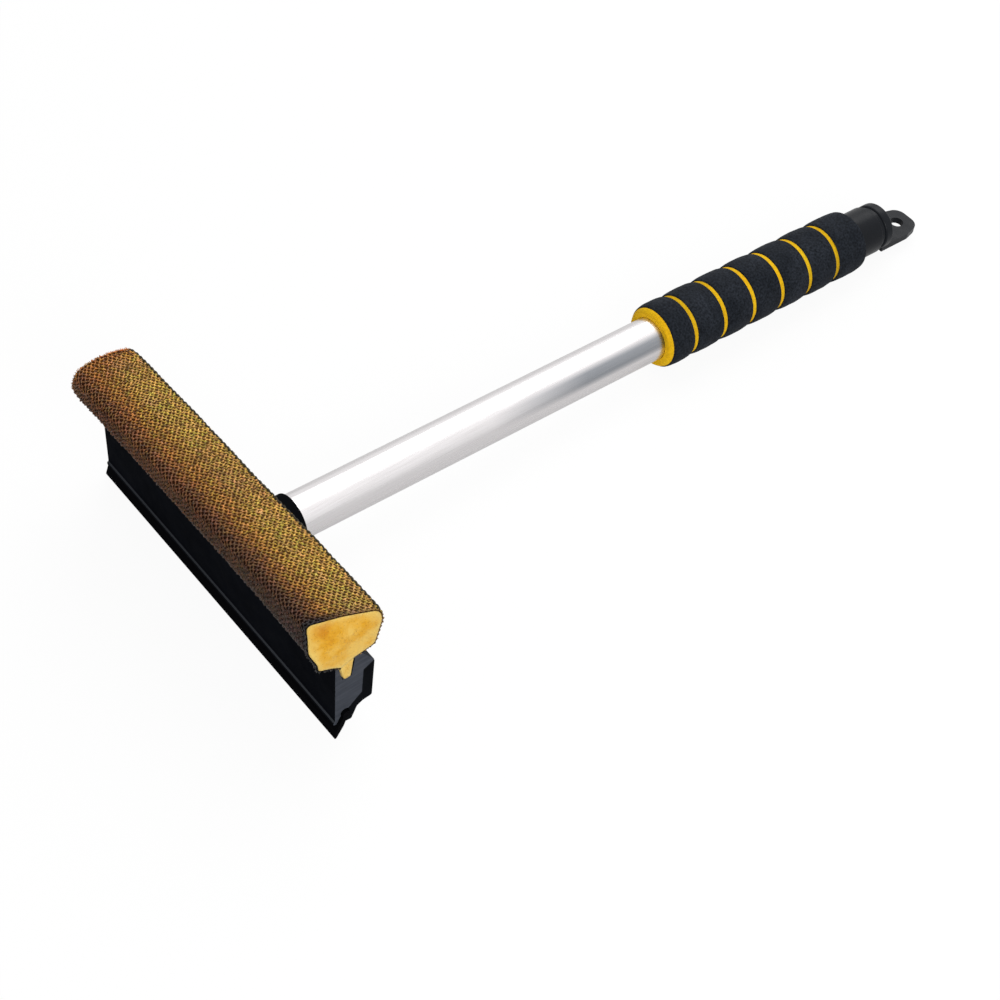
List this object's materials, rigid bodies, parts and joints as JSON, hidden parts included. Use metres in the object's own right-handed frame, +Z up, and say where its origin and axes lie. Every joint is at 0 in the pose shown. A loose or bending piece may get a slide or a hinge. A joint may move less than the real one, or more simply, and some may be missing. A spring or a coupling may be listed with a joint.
{
  "type": "window scrubber",
  "caption": "Hand window scrubber: T-shaped head with a netted foam pad above and a rubber squeegee blade below, on a round metal handle with a ribbed foam grip and a hanging tongue.",
  "frame": {"origin": "on the surface the tool lies on, under the middle of its bounding box", "axes": "+X along the head towards the end the pad and the blade slide out of, +Y from the head along the handle to the hanging tongue, +Z up; lying on its blade and grip, the handle slopes down 1.94 degrees towards +Y"},
  "size_m": [0.2064, 0.5115, 0.0898],
  "materials": {
    "front_plastic": "moulded charcoal plastic, fine grain",
    "black_plastic": "moulded black plastic, satin",
    "screw_steel": "zinc plated",
    "blade_rubber": "smooth black rubber",
    "pad_foam": "open-cell yellow foam",
    "net_mesh": "knitted golden brown net",
    "tube_metal": "bright drawn tube",
    "yellow_grip_foam": "closed-cell yellow foam",
    "black_grip_foam": "closed-cell charcoal foam"
  },
  "bodies": {
    "tool": {"front_shell": "front_plastic", "rear_shell": "black_plastic", "shell_screws": "screw_steel", "handle_tube": "tube_metal", "tube_plug": "black_plastic", "socket_rivet": "screw_steel", "grip_core": "yellow_grip_foam", "grip_band_1": "black_grip_foam", "grip_band_2": "black_grip_foam", "grip_band_3": "black_grip_foam", "grip_band_4": "black_grip_foam", "grip_band_5": "black_grip_foam", "grip_band_6": "black_grip_foam", "grip_band_7": "black_grip_foam", "end_cap": "black_plastic"},
    "pad": {"foam_pad": "pad_foam", "scrub_net": "net_mesh"},
    "blade": {"rubber_blade": "blade_rubber"}
  },
  "joints": [
    {"name": "pad_slide", "type": "slide", "parent": "tool", "child": "pad", "axis": [1, 0, 0], "range_m": [0, 0.206]},
    {"name": "blade_slide", "type": "slide", "parent": "tool", "child": "blade", "axis": [1, 0, 0], "range_m": [0, 0.206]}
  ]
}
